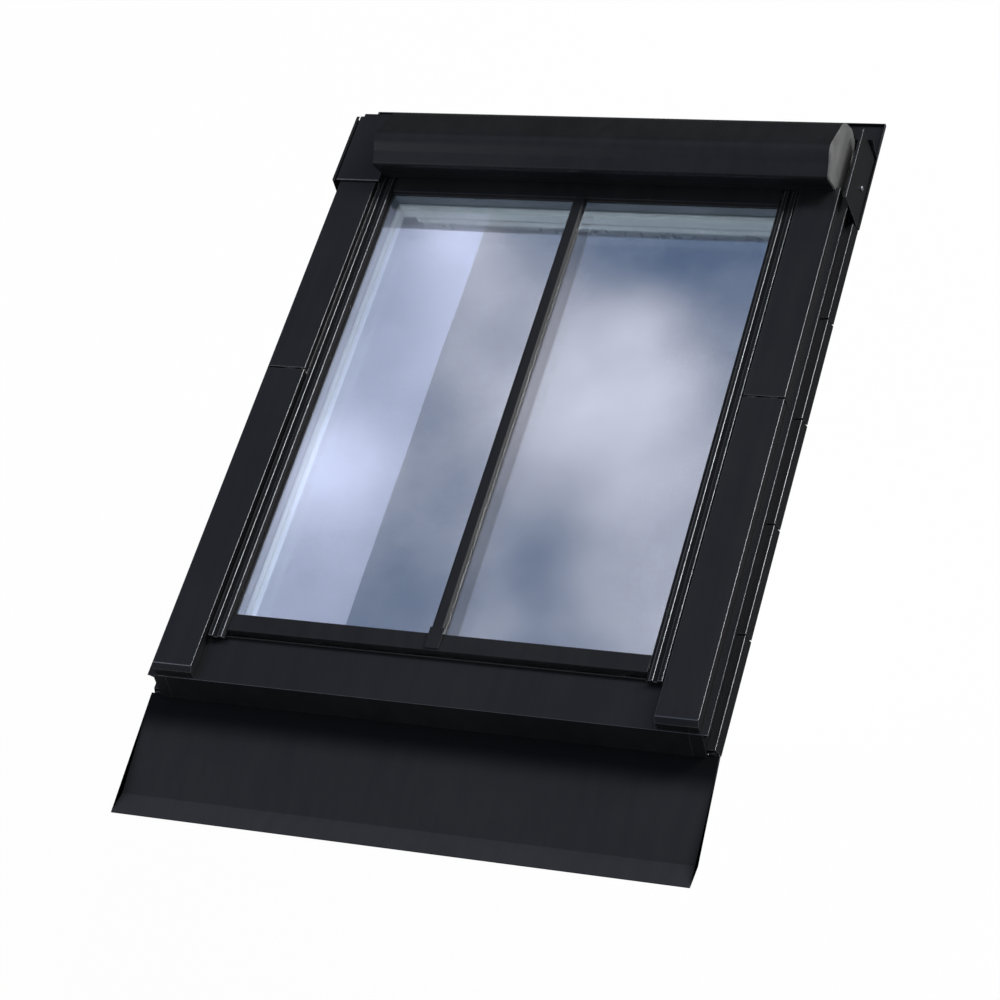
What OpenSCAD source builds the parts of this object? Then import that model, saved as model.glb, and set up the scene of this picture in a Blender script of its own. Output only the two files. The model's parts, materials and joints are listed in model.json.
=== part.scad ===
// Centre-pivot roof skylight with its frame, hood and slate flashing.
// X runs across the slope, Y runs up the slope, Z points out of the roof.
// The origin is the middle of the timber frame, on the plane of the roof battens.

/* [Timber frame] */
// Width across the timber frame
frame_w = 760; // [560:10:1140]
// Length of the timber frame up the slope
frame_l = 1002; // [840:10:1400]
// Depth of the timber frame
frame_d = 93; // [80:1:110]
// Width of each jamb
jamb_w = 33; // [30:1:45]
// Width of the head member
head_w = 41; // [36:1:60]
// Width of the sill member
sill_w = 63; // [50:1:75]
// Depth of the groove that takes the room lining
lining_groove = 10; // [6:1:14]
// Width of the lining groove
lining_groove_w = 12; // [8:1:16]

/* [Levels] */
// Height of the side covers above the battens
cover_top = 78; // [70:1:95]
// Drop from the side covers to the frame cladding
cladding_drop = 17.5; // [15:0.5:22]
// Drop from the side covers to the sash timber
sash_drop = 12; // [10:0.5:13]
// Drop from the side covers to the outer pane
glass_drop = 15; // [13:0.5:18]

/* [Sash] */
// Height of the pivot line above the middle of the frame
pivot_y = 11; // [0:1:40]
// Running gap between each jamb and stile
stile_gap = 2; // [1.5:0.1:4]
// Running gap at the head
head_gap = 4; // [3:0.5:8]
// Running gap at the sill
sill_gap = 8; // [7:0.5:12]
// Width of each stile
stile_w = 45; // [40:1:60]
// Width of the top rail
top_rail_w = 100; // [80:1:130]
// Width of the bottom rail
bottom_rail_w = 29; // [26:1:50]
// Depth of the sash timber
sash_d = 58; // [50:1:66]

/* [Glazing] */
// Thickness of each pane
pane_t = 4; // [3:0.5:6]
// Width of the gas space between the panes
gas_space = 16; // [12:1:18]
// How far the panes reach into the sash
glass_lap = 13; // [10:1:16]
// Depth of the spacer between the panes
spacer_w = 10; // [6:1:12]
// Height of the glazing beads above the outer pane
bead_h = 9.5; // [7:0.5:11]
// Width of the side beads
bead_w = 24.5; // [22:0.5:25]
// Width of the top bead
top_bead_w = 37; // [20:1:50]
// Width of the middle glazing bar
bar_w = 21; // [16:1:30]
// Height of the middle glazing bar
bar_h = 8; // [6:0.5:10]

/* [Covers] */
// Thickness of the folded sheet
sheet = 1.5; // [1:0.1:2]
// Width of each side cover
cover_w = 59; // [50:1:75]
// How far the side covers stand out past the timber
cover_out = 10; // [6:1:14]
// How far the cladding lip stands out past the side covers
lip_out = 11; // [8:1:16]
// Width of the seam between the upper and lower covers
cover_seam = 2.7; // [2.6:0.1:4]
// How far the lower covers stop short of the sill's front edge
cover_stop = 4; // [2:1:10]
// How far the sill cover stands out past the timber
sill_nose = 8; // [6:1:14]
// Height of the sill cover's front face
sill_face_h = 42; // [30:1:44]
// Slope of the sill cover's front face
sill_face_run = 9; // [4:1:14]

/* [Hood] */
// Height of the hood's crest above the covers
hood_h = 66; // [50:1:80]
// Distance from the frame's top end down to the hood's front lip
hood_reach = 131; // [125:1:150]
// How far the hood stops short of the timber's left side
hood_short_left = 55; // [10:1:100]
// Thickness of the hood's end caps
cap_t = 3; // [2:0.5:5]

/* [Flashing] */
// Half of the flashing's width past the cladding lip
flashing_out = 9; // [6:1:20]
// Length of the apron below the sill cover
apron_l = 141; // [100:1:220]
// Length of the apron's upturned edge
apron_lip = 35; // [20:1:50]
// Drop of the apron along its length
apron_fall = 23; // [10:1:24]
// Rise of the apron's upturned edge
apron_rise = 10; // [4:1:14]
// Length of the head flashing above the frame
head_flashing_l = 67; // [60:1:140]
// Number of soakers down each side
soaker_count = 5; // [4:1:7]
// Length of the corner wings down each side
wing_l = 134; // [120:1:160]
// Rise of the corner wings above the covers
wing_rise = 4; // [2:0.5:8]

/* [Hardware] */
// Radius of the curved pivot track
track_r = 28; // [26:0.5:32]
// Running clearance in the pivot track
track_clear = 0.05; // [0.02:0.01:0.1]
// Thickness of the pivot plates
pivot_plate = 5; // [4:0.5:8]
// Distance from each stile to the end of the control bar
control_bar_inset = 20; // [12:1:120]
// Diameter of the control bar
control_bar_d = 16; // [12:1:20]
// Width of the ventilation flap
flap_w = 82; // [60:1:88]
// Thickness of the ventilation flap
flap_t = 9; // [6:1:12]
// Distance from the timber's side to the middle of each bracket
bracket_inset = 100; // [45:1:130]
// Length of the brackets' outer legs
bracket_leg = 55; // [50:1:60]
// Width of each bracket
bracket_w = 60; // [46:1:80]
// Thickness of the brackets
bracket_t = 3; // [2:0.5:4]
// Diameter of the batten screw holes
batten_hole_d = 6; // [4:0.5:8]
// Spacing of the two holes in a bracket
batten_hole_gap = 30; // [20:1:40]

/* [Hidden] */
$fn = 64;

// Colours
black_metal = "#22262a";
dark_metal = "#1b1e21";
cap_grey = "#9a9a9a";
white_paint = "#eceae4";
steel = "#b4b7ba";
rubber = "#161616";
glass_tint = [0.75, 0.82, 0.88, 0.35];

// Timber frame
head_out = frame_l / 2;
sill_out = -frame_l / 2;
head_in = head_out - head_w;
sill_in = sill_out + sill_w;
jamb_out = frame_w / 2;
jamb_in = jamb_out - jamb_w;
frame_top = cover_top - cladding_drop - sheet;
frame_low = frame_top - frame_d;
groove_rise = 10;

// Sash
stile_out = jamb_in - stile_gap;
stile_in = stile_out - stile_w;
sash_head = head_in - head_gap;
sash_foot = sill_in + sill_gap;
rail_head_in = sash_head - top_rail_w;
rail_foot_in = sash_foot + bottom_rail_w;
sash_top = cover_top - sash_drop;
sash_low = sash_top - sash_d;
pivot_z = cover_top + 0.5;

// Glazing
glass_top = cover_top - glass_drop;
unit_t = 2 * pane_t + gas_space;
glass_low = glass_top - unit_t;
glass_x = stile_in + glass_lap;
glass_head = rail_head_in + glass_lap;
glass_foot = rail_foot_in - glass_lap;
glass_clear = 1;
bead_lap = 3;
bead_round = 1.2;
bead_groove = 2.8;
bead_short = 20;
cross_drop = 2.5;

// Covers and cladding
cladding_top = cover_top - cladding_drop;
cover_edge = jamb_out + cover_out;
cover_in = cover_edge - cover_w;
lip_x = cover_edge + lip_out;
lip_h = 4;
stop_h = 4;
cover_nose = 7;
stop_gap = 2;
skirt_gap = 0.7;
wall_x = lip_x - 8;
corner_x = jamb_out - 5;
sill_edge = sill_out - sill_nose;
face_low = cladding_top - sill_face_h;
face_foot = sill_edge - sill_face_run;
bead_end = sash_foot - 14;

// Hood profile, from its front foot over the crest to its back foot
hood_right = jamb_out + cap_t;
hood_left = jamb_out - hood_short_left;
hood_under = 13;
hood_foot_h = 7;
hood_valley = 19;
hood_crest = 36;
hood_shoulder = 18;
hood_foot = head_out - hood_reach + hood_under;
hood_lip = [head_out - hood_reach, cover_top + hood_h * 0.57];
hood_back = head_out - 1;
hood_path = [
    [hood_foot, cover_top],
    [hood_foot - 1, cover_top + hood_foot_h],
    hood_lip,
    [hood_lip[0] + hood_valley, cover_top + hood_h * 0.74],
    [hood_lip[0] + hood_crest, cover_top + hood_h],
    [hood_back - hood_shoulder, cover_top + hood_h * 0.5],
    [hood_back, cover_top - 2],
    [hood_back, frame_top]
];
hood_radii = [0, 3, 6, 14, 22, 28, 20, 0];
hood_steps = 8;
cover_end = hood_foot + 4;
cap_notch = cover_end + 0.3;
cap_front = hood_foot + 24;
cap_low = frame_top - 14;
skirt_low = glass_top + bead_h + 1;

// Flashing
flashing_x = lip_x + flashing_out;
apron_fold = face_foot - apron_l;
apron_edge = apron_fold - apron_lip;
apron_tuck = 27;
flashing_z = face_low - 10;
soaker_gap = 1.5;
wedge_gap = 4;
wedge_w = 9.5;
soaker_head = head_out - wing_l - soaker_gap;
soaker_foot = face_foot + 6;
soaker_pitch = (soaker_head - soaker_foot) / soaker_count;
soaker_top = face_low + 7;
soaker_tilt = 1.2;
wing_top = cover_top + wing_rise;
wing_foot = head_out - wing_l;
wing_low = flashing_z + 2;
wing_hem = 3;
plate_gap = 2.5;
plate_reach = 15;
plate_short = 4.5;
wing_screw_y = 55;
wing_screw_drop = 24;
wing_out = flashing_x - sheet - 0.5;
wing_screw_z = cladding_top - wing_screw_drop;
wing_lean = (wing_out - lip_x - sheet) * (wing_top - wing_screw_z) / (wing_top - wing_low);
wing_screw = [lip_x + sheet + wing_lean + 0.4, wing_foot + wing_screw_y, wing_screw_z];

// Hardware
control_bar_l = 2 * (stile_in - control_bar_inset);
bracket_x = jamb_out - bracket_inset;
shoe_top = sash_top;
plate_low = pivot_z - track_r - 8;
plate_half = track_r + 12;
strike_w = 44;
strike_t = 2;
strike_rise = 23;
strike_lap = 14;
flap_pin_d = 5;
flap_gap = 1;
flap_top = sash_low - flap_gap;
flap_axis = [sash_head - 18, flap_top - flap_t / 2];
bar_drop = 22;
screw_head_d = 8;
screw_head_h = 2.5;
screw_d = 4;
screw_clear = 0.2;
bracket_drop = 34;
bracket_screw_z = -20;
batten_hole_end = 20;

// The foot of a normal on the left side of a direction
function side_of(v) = [-v[1], v[0]] / norm(v);

// The mitred offset of point i of path p by t
function mitre(p, i, t) =
    let(
        a = side_of(i == 0 ? p[1] - p[0] : p[i] - p[i - 1]),
        b = side_of(i == len(p) - 1 ? p[i] - p[i - 1] : p[i + 1] - p[i])
    )
    p[i] + t * (a + b) / (1 + a * b);

// The closed outline of a sheet of thickness t whose face follows path p
function sheet_outline(p, t) = concat(p, [for (i = [len(p) - 1:-1:0]) mitre(p, i, t)]);

// The points of a rounded corner at b between a and c
function corner_arc(a, b, c, r, steps) =
    let(
        u = (a - b) / norm(a - b),
        v = (c - b) / norm(c - b),
        half = acos(u * v) / 2,
        reach = r / tan(half),
        centre = b + (u + v) / norm(u + v) * r / sin(half),
        from = b + u * reach - centre,
        to = b + v * reach - centre,
        turn = from[0] * to[1] - from[1] * to[0] > 0 ? 1 : -1,
        sweep = turn * (180 - 2 * half)
    )
    [for (k = [0:steps]) let(w = sweep * k / steps)
        centre + [from[0] * cos(w) - from[1] * sin(w), from[0] * sin(w) + from[1] * cos(w)]];

// A path with its corners rounded to the given radii
function rounded(p, radii, steps) = [
    for (i = [0:len(p) - 1])
        each (radii[i] == 0 ? [p[i]] : corner_arc(p[i - 1], p[i], p[i + 1], radii[i], steps))
];

// Extrudes a Y-Z outline from x0 to x1
module across(x0, x1) {
    translate([x0, 0, 0]) rotate([90, 0, 90]) linear_extrude(x1 - x0) children();
}

// Extrudes an X-Z outline from y0 to y1
module along(y0, y1) {
    translate([0, y1, 0]) rotate([90, 0, 0]) linear_extrude(y1 - y0) children();
}

// A block between two corners
module block(a, b) {
    translate(a) cube(b - a);
}

// A folded sheet across the slope
module folded_across(path, x0, x1, t) {
    across(x0, x1) polygon(sheet_outline(path, t));
}

// A folded sheet along the slope
module folded_along(path, y0, y1, t) {
    along(y0, y1) polygon(sheet_outline(path, t));
}

// The left-hand twin of a right-hand piece
module left_hand() {
    mirror([1, 0, 0]) children();
}

// Jamb with its lining groove and the pocket for the pivot track
module jamb_shape() {
    groove_low = frame_low + groove_rise;
    difference() {
        block([jamb_in, sill_in, frame_low], [jamb_out, head_in, frame_top]);
        block([jamb_in - 1, sill_in - 1, groove_low],
              [jamb_in + lining_groove, head_in + 1, groove_low + lining_groove_w]);
        block([jamb_in - 1, pivot_y - plate_half, plate_low],
              [jamb_in + pivot_plate, pivot_y + plate_half, frame_top + 1]);
    }
}

module left_jamb() {
    color(white_paint) left_hand() jamb_shape();
}

module right_jamb() {
    color(white_paint) jamb_shape();
}

// Head and sill run past the jambs to the full width of the frame
module cross_member(y_in, y_out) {
    groove_low = frame_low + groove_rise;
    groove_end = y_in + sign(y_out - y_in) * lining_groove;
    difference() {
        block([-jamb_out, min(y_in, y_out), frame_low], [jamb_out, max(y_in, y_out), frame_top]);
        block([-jamb_in - lining_groove, min(y_in, groove_end), groove_low],
              [jamb_in + lining_groove, max(y_in, groove_end), groove_low + lining_groove_w]);
    }
}

module frame_head() {
    color(white_paint) cross_member(head_in, head_out);
}

module frame_sill() {
    color(white_paint) cross_member(sill_in, sill_out);
}

// Four rubber strips on the inner faces of the frame
module frame_seal() {
    seal_t = 1.6;
    seal_h = 8;
    seal_z = frame_low + groove_rise + lining_groove_w + 14;
    color(rubber) {
        for (s = [-1, 1]) {
            block([s * jamb_in - (s > 0 ? seal_t : 0), sill_in + 3, seal_z],
                  [s * jamb_in + (s > 0 ? 0 : seal_t), head_in - 3, seal_z + seal_h]);
        }
        block([-jamb_in + 3, head_in - seal_t, seal_z], [jamb_in - 3, head_in, seal_z + seal_h]);
        block([-jamb_in + 3, sill_in, seal_z], [jamb_in - 3, sill_in + seal_t, seal_z + seal_h]);
    }
}

// Side cladding with its outer lip, and the folded corner that closes the sill's front
module cladding_shape() {
    side = [
        [corner_x, cladding_top], [lip_x, cladding_top], [lip_x, cladding_top - lip_h],
        [wall_x, cladding_top - 2.5 * lip_h], [wall_x, face_low]
    ];
    front = [[sill_edge, cladding_top], [sill_edge, cladding_top - lip_h], [face_foot, face_low]];
    cheek = [front[1], front[2], [sill_edge + sheet, face_low], [sill_edge + sheet, front[1][1]]];
    wall = [[wall_x, cladding_top - 2.5 * lip_h], [wall_x, face_low]];
    folded_along(side, sill_edge + sheet, cover_end, -sheet);
    folded_along(wall, cover_end, head_out, -sheet);
    folded_across(front, corner_x, wall_x, sheet);
    across(wall_x - sheet, wall_x) polygon(cheek);
    block([corner_x, sill_edge, cladding_top - sheet], [lip_x, sill_edge + sheet, cladding_top]);
}

module left_cladding() {
    color(black_metal) left_hand() cladding_shape();
}

module right_cladding() {
    color(black_metal) cladding_shape();
}

// Sill cover with a stop edge behind the sash and a sloping front face
module sill_cover() {
    stop_x = cover_in - stop_gap;
    path = [
        [sill_in, cladding_top], [sill_edge, cladding_top],
        [sill_edge, cladding_top - lip_h], [face_foot, face_low]
    ];
    color(black_metal) {
        folded_across(path, -corner_x, corner_x, sheet);
        block([-stop_x, sill_in - sheet, cladding_top - sheet], [stop_x, sill_in, cladding_top + stop_h]);
    }
}

// Channel-shaped side cover with flanges down to its seats
module side_cover(y0, y1, inner_low, outer_low) {
    path = [
        [cover_in, inner_low], [cover_in, cover_top], [cover_edge, cover_top], [cover_edge, outer_low]
    ];
    folded_along(path, y0, y1, -sheet);
}

module upper_cover_shape() {
    side_cover(pivot_y + 1.5, cover_end, sash_top + 1.5, cladding_top);
}

module upper_left_cover() {
    color(black_metal) left_hand() upper_cover_shape();
}

module upper_right_cover() {
    color(black_metal) upper_cover_shape();
}

// Lower cover, closed at its foot by a folded end
module lower_cover_shape() {
    foot = sill_edge + cover_stop;
    head = pivot_y + 1.5 - cover_seam;
    low = cladding_top + 1;
    end = [[foot, low], [foot, cover_top - cover_nose], [foot + cover_nose, cover_top]];
    cheek = concat(end, [[foot + cover_nose, low]]);
    side_cover(foot + cover_nose, head, sash_top, low);
    folded_across(end, cover_in, cover_edge, -sheet);
    across(cover_in, cover_in + sheet) polygon(cheek);
    across(cover_edge - sheet, cover_edge) polygon(cheek);
    block([cover_in, foot + cover_nose, low], [cover_in + sheet, sash_foot - 2, sash_top]);
}

module lower_left_cover() {
    color(black_metal) left_hand() lower_cover_shape();
}

module lower_right_cover() {
    color(black_metal) lower_cover_shape();
}

// Hood shell over the head of the window, with a skirt between the side covers
module hood() {
    path = rounded(hood_path, hood_radii, hood_steps);
    x0 = -hood_left + cap_t;
    x1 = hood_right - cap_t;
    color(black_metal) {
        folded_across(path, x0, x1, -sheet);
        block([x0, hood_foot, skirt_low], [cover_in - skirt_gap, hood_foot + sheet, cover_top + 1]);
    }
}

// End cap of the hood, closed below by the given foot points
module hood_cap(x0, foot) {
    path = rounded(hood_path, hood_radii, hood_steps);
    across(x0, x0 + cap_t) polygon(concat(path, foot, [[foot[len(foot) - 1][0], cover_top]]));
}

// Left cap, which steps over the sash and stands on the frame head
module hood_left_cap() {
    step_z = glass_top + bead_h + 2;
    foot = [[head_in, frame_top], [head_in, step_z], [cap_notch, step_z]];
    color(black_metal) hood_cap(-hood_left, foot);
}

// Right cap, which reaches down outside the jamb
module hood_right_cap() {
    foot = [[hood_back, cap_low], [cap_front, cap_low], [cap_notch, cover_top - 3]];
    color(cap_grey) hood_cap(hood_right - cap_t, foot);
}

// Flat plate that closes the corner beside the hood's short end
module corner_plate() {
    side = -lip_x + wing_hem + plate_gap;
    front = hood_foot - plate_reach;
    color(black_metal) {
        block([side, front, wing_top - sheet], [-hood_left, head_out - plate_short, wing_top]);
        block([-cover_edge, front, cover_top], [-hood_left, front + sheet, wing_top]);
    }
}

// Corner wing with a hemmed top edge, a foot against the jamb and a screw hole
module wing_shape() {
    path = [
        [lip_x - wing_hem, wing_top], [lip_x + sheet, wing_top],
        [wing_out, wing_low], [jamb_out, wing_low]
    ];
    difference() {
        folded_along(path, wing_foot, head_out - plate_short, -sheet);
        translate(wing_screw + [1, 0, 0]) rotate([0, -90, 0])
            cylinder(d = screw_d + screw_clear, h = 3 * sheet);
    }
}

module left_wing() {
    color(black_metal) left_hand() wing_shape();
}

module right_wing() {
    color(black_metal) wing_shape();
}

// Head flashing with a stop edge, hemmed sides and arms beside the wings
module head_flashing() {
    end = head_out + head_flashing_l;
    hem = 6;
    path = [
        [head_out, frame_top - hem], [head_out, flashing_z], [end, flashing_z], [end, flashing_z + hem]
    ];
    color(black_metal) {
        folded_across(path, -flashing_x, flashing_x, sheet);
        for (s = [0, 1]) mirror([s, 0, 0]) {
            block([lip_x + sheet, wing_foot, flashing_z], [flashing_x, head_out + 1, flashing_z + sheet]);
            block([flashing_x - sheet, wing_foot, flashing_z], [flashing_x, end, flashing_z + hem]);
        }
    }
}

// Apron that slopes down over the slates and turns up at its edge
module apron() {
    skirt_z = face_low - 0.3;
    bend_y = face_foot - 2;
    tuck = [[sill_out - sheet, face_low + apron_tuck], [sill_out - sheet, skirt_z], [bend_y, skirt_z]];
    skirt = [
        [soaker_foot - 1, skirt_z], [bend_y, skirt_z],
        [apron_fold, skirt_z - apron_fall], [apron_edge, skirt_z - apron_fall + apron_rise]
    ];
    color(black_metal) {
        folded_across(tuck, -corner_x, corner_x, sheet);
        folded_across(skirt, -flashing_x, flashing_x, sheet);
    }
}

// Row of soakers down one side, on a foam wedge
module soaker_row() {
    path = [
        [wall_x, soaker_top - 1.5], [wall_x + 11, soaker_top], [flashing_x - 1, flashing_z + 2]
    ];
    wedge = [
        [wall_x, flashing_z + 2], [flashing_x - wedge_gap, flashing_z + 2],
        [wall_x + wedge_w, soaker_top - wedge_gap], [wall_x, soaker_top - wedge_gap - 1.5]
    ];
    run = soaker_pitch - soaker_gap;
    along(soaker_foot, soaker_head) polygon(wedge);
    for (k = [0:soaker_count - 1]) {
        translate([0, soaker_head - k * soaker_pitch, 0])
            rotate([-asin(soaker_tilt / run), 0, 0]) folded_along(path, -run, 0, -sheet);
    }
}

module left_soakers() {
    color(black_metal) left_hand() soaker_row();
}

module right_soakers() {
    color(black_metal) soaker_row();
}

// A pan-head screw whose head sits on the plane z = 0 and whose shank runs down
module screw(reach) {
    cylinder(d = screw_head_d, h = screw_head_h);
    translate([0, 0, -reach]) cylinder(d = screw_d, h = reach);
}

module flashing_screws() {
    color(steel) for (s = [0, 1]) mirror([s, 0, 0])
        translate(wing_screw) rotate([0, 90, 0]) screw(wing_screw[0] - wall_x);
}

// Places children at the four brackets, with +Y pointing away from the frame
module at_brackets() {
    for (sx = [-1, 1]) {
        translate([sx * bracket_x, head_out, 0]) children();
        translate([sx * bracket_x, sill_out, 0]) mirror([0, 1, 0]) children();
    }
}

// Angle bracket with two batten screw holes in its leg
module bracket() {
    difference() {
        union() {
            block([-bracket_w / 2, 0, 0], [bracket_w / 2, bracket_leg, bracket_t]);
            block([-bracket_w / 2, 0, -bracket_drop + bracket_t], [bracket_w / 2, bracket_t, bracket_t]);
        }
        for (s = [-1, 1]) translate([s * batten_hole_gap / 2, 0, 0]) {
            translate([0, bracket_leg - batten_hole_end, -1]) cylinder(d = batten_hole_d, h = bracket_t + 2);
            translate([0, -1, bracket_screw_z]) rotate([-90, 0, 0])
                cylinder(d = screw_d + screw_clear, h = bracket_t + 2);
        }
    }
}

module fixing_brackets() {
    color(steel) at_brackets() bracket();
}

module bracket_screws() {
    color(steel) at_brackets() for (s = [-1, 1])
        translate([s * batten_hole_gap / 2, bracket_t, bracket_screw_z])
            rotate([-90, 0, 0]) screw(bracket_t);
}

// Track plate in the jamb, with the curved seat that the shoe turns in
module pivot_track_shape() {
    difference() {
        block([jamb_in, pivot_y - plate_half, plate_low],
              [jamb_in + pivot_plate, pivot_y + plate_half, frame_top + 4]);
        translate([jamb_in - 1, pivot_y, pivot_z]) rotate([0, 90, 0])
            cylinder(r = track_r + track_clear, h = pivot_plate + 2);
    }
}

module left_pivot_track() {
    color(steel) left_hand() pivot_track_shape();
}

module right_pivot_track() {
    color(steel) pivot_track_shape();
}

// Curved shoe on the stile, concentric with the pivot line
module pivot_shoe_shape() {
    width = stile_gap + pivot_plate - 0.3;
    intersection() {
        translate([stile_out, pivot_y, pivot_z]) rotate([0, 90, 0]) cylinder(r = track_r, h = width);
        block([stile_out, pivot_y - track_r, pivot_z - track_r],
              [stile_out + width, pivot_y + track_r, shoe_top]);
    }
}

module left_pivot_shoe() {
    color(steel) left_hand() pivot_shoe_shape();
}

module right_pivot_shoe() {
    color(steel) pivot_shoe_shape();
}

module strike_plate() {
    half = strike_w / 2;
    low = [-half, head_in - strike_t, sash_low + strike_rise];
    color(steel) block(low, [half, head_in, glass_low + strike_lap]);
}

// Stile with the glazing rebate between the rails
module stile_shape() {
    difference() {
        block([stile_in, sash_foot, sash_low], [stile_out, sash_head, sash_top]);
        block([stile_in - 1, glass_foot - glass_clear, glass_low],
              [glass_x + glass_clear, glass_head + glass_clear, sash_top + 1]);
    }
}

module left_stile() {
    color(white_paint) left_hand() stile_shape();
}

module right_stile() {
    color(white_paint) stile_shape();
}

// Rail between the stiles, rebated for the panes
module rail(y_in, y_out, y_glass) {
    difference() {
        block([-stile_in, min(y_in, y_out), sash_low], [stile_in, max(y_in, y_out), sash_top]);
        block([-stile_in - 1, min(y_in, y_glass) - (y_in < y_out ? 1 : 0), glass_low],
              [stile_in + 1, max(y_in, y_glass) + (y_in < y_out ? 0 : 1), sash_top + 1]);
    }
}

module top_rail() {
    color(white_paint) rail(rail_head_in, sash_head, glass_head + glass_clear);
}

module bottom_rail() {
    color(white_paint) rail(rail_foot_in, sash_foot, glass_foot - glass_clear);
}

module pane(z0) {
    block([-glass_x, glass_foot, z0], [glass_x, glass_head, z0 + pane_t]);
}

module outer_pane() {
    color(glass_tint) pane(glass_top - pane_t);
}

module inner_pane() {
    color(glass_tint) pane(glass_low);
}

// Spacer bars round the edge of the sealed unit
module spacer_frame() {
    inset = 2;
    z0 = glass_low + pane_t;
    color(steel) difference() {
        block([-glass_x + inset, glass_foot + inset, z0],
              [glass_x - inset, glass_head - inset, z0 + gas_space]);
        block([-glass_x + inset + spacer_w, glass_foot + inset + spacer_w, z0 - 1],
              [glass_x - inset - spacer_w, glass_head - inset - spacer_w, z0 + gas_space + 1]);
    }
}

// Side bead with two ridges and a groove between them, and a tongue down to the outer pane
module side_bead_shape() {
    x0 = stile_in + bead_lap;
    x1 = x0 + bead_w;
    inner = x0 + bead_w * 0.42;
    outer = x0 + bead_w * 0.7;
    top = glass_top + bead_h;
    step = top - bead_round;
    groove_z = step - bead_groove;
    profile = [
        [x0, sash_top], [x0 + bead_round, groove_z], [x0 + bead_w * 0.2, step], [inner, step],
        [inner + bead_round, groove_z], [outer - bead_round, groove_z], [outer, top],
        [x1 - bead_round, top], [x1, top - bead_round], [x1, sash_top]
    ];
    along(bead_end, sash_head - bead_short) polygon(profile);
    tongue_end = [glass_x + glass_clear, glass_head + glass_clear, sash_top];
    block([x0, glass_foot - glass_clear, glass_top], tongue_end);
}

module left_bead() {
    color(dark_metal) left_hand() side_bead_shape();
}

module right_bead() {
    color(dark_metal) side_bead_shape();
}

// Cross bead between the side beads, from its inner edge to its outer edge
module cross_bead(y_in, y_out, y_rebate) {
    z0 = glass_top;
    d = sign(y_out - y_in);
    top = z0 + bead_h - cross_drop;
    slope = 4;
    profile = [
        [y_in, z0], [y_in + bead_round * d, top - slope / 2], [y_out - slope * d, top], [y_out, top],
        [y_out, sash_top], [y_rebate, sash_top], [y_rebate, z0]
    ];
    reach = stile_in + bead_lap;
    across(-reach, reach) polygon(profile);
}

module top_bead() {
    y_in = rail_head_in + bead_lap;
    color(dark_metal) cross_bead(y_in, y_in + top_bead_w, glass_head + glass_clear);
}

// Bottom bead, with a skirt over the foot of the sash
module bottom_bead() {
    y_out = sash_foot - sheet;
    reach = cover_in - skirt_gap;
    color(dark_metal) {
        cross_bead(rail_foot_in - bead_lap, y_out, glass_foot - glass_clear);
        block([-reach, y_out, glass_low], [reach, sash_foot, sash_top]);
    }
}

// Bar that divides the window into two lights, with a foot on the bottom bead
module glazing_bar() {
    half = bar_w / 2;
    y0 = rail_foot_in - bead_lap;
    y1 = rail_head_in + bead_lap;
    foot_z = glass_top + bead_h - cross_drop;
    foot_l = 8;
    foot_t = 2;
    flat = half - 4;
    shoulder = bar_h - 2.5;
    profile = [
        [-half, 0], [-half + 1, shoulder], [-flat, bar_h],
        [flat, bar_h], [half - 1, shoulder], [half, 0]
    ];
    color(dark_metal) {
        along(y0 + bead_round, y1 - bead_round) translate([0, glass_top]) polygon(profile);
        block([-half - foot_t, sash_foot + 1, foot_z], [half + foot_t, y0 + foot_l, foot_z + foot_t]);
    }
}

// Lugs under the top rail that carry the flap's pins
module flap_hinge() {
    lug_t = 8;
    lug_half = 7;
    lug_x = control_bar_l / 2 + 1;
    lug_low = flap_axis[1] - flap_t / 2;
    color(steel) for (s = [0, 1]) mirror([s, 0, 0]) difference() {
        block([lug_x, flap_axis[0] - lug_half, lug_low],
              [lug_x + lug_t, flap_axis[0] + lug_half, sash_low]);
        translate([lug_x - 1, flap_axis[0], flap_axis[1]]) rotate([0, 90, 0])
            cylinder(d = flap_pin_d + 2 * track_clear, h = lug_t + 2);
    }
}

// Ventilation flap with a round hinge edge and a pin at each end
module vent_flap() {
    reach = control_bar_l / 2;
    pin = 8;
    color(white_paint) {
        block([-reach, flap_axis[0] - flap_w, flap_top - flap_t], [reach, flap_axis[0], flap_top]);
        translate([-reach, flap_axis[0], flap_axis[1]]) rotate([0, 90, 0])
            cylinder(d = flap_t, h = 2 * reach);
        translate([-reach - pin, flap_axis[0], flap_axis[1]]) rotate([0, 90, 0])
            cylinder(d = flap_pin_d, h = 2 * (reach + pin));
    }
}

// Control bar on two arms under the flap
module control_bar() {
    r = control_bar_d / 2;
    y = flap_axis[0] - flap_w + r + 2;
    z_flap = flap_top - flap_t;
    z = z_flap - bar_drop + r;
    arm_in = 50;
    arm_w = 12;
    arm_t = 8;
    arm_x = control_bar_l / 2 - arm_in;
    color(steel) {
        translate([-control_bar_l / 2 + r, y, z]) rotate([0, 90, 0])
            cylinder(d = control_bar_d, h = control_bar_l - control_bar_d);
        for (s = [-1, 1]) {
            translate([s * (control_bar_l / 2 - r), y, z]) sphere(r = r);
            block([s * arm_x - arm_w / 2, y - arm_t / 2, z],
                  [s * arm_x + arm_w / 2, y + arm_t / 2, z_flap]);
        }
    }
}

left_jamb();
right_jamb();
frame_head();
frame_sill();
frame_seal();
left_cladding();
right_cladding();
sill_cover();
upper_left_cover();
upper_right_cover();
hood();
hood_left_cap();
hood_right_cap();
corner_plate();
left_wing();
right_wing();
head_flashing();
apron();
left_soakers();
right_soakers();
flashing_screws();
fixing_brackets();
bracket_screws();
left_pivot_track();
right_pivot_track();
strike_plate();
left_stile();
right_stile();
top_rail();
bottom_rail();
outer_pane();
inner_pane();
spacer_frame();
left_bead();
right_bead();
top_bead();
bottom_bead();
glazing_bar();
lower_left_cover();
lower_right_cover();
left_pivot_shoe();
right_pivot_shoe();
flap_hinge();
vent_flap();
control_bar();
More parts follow.
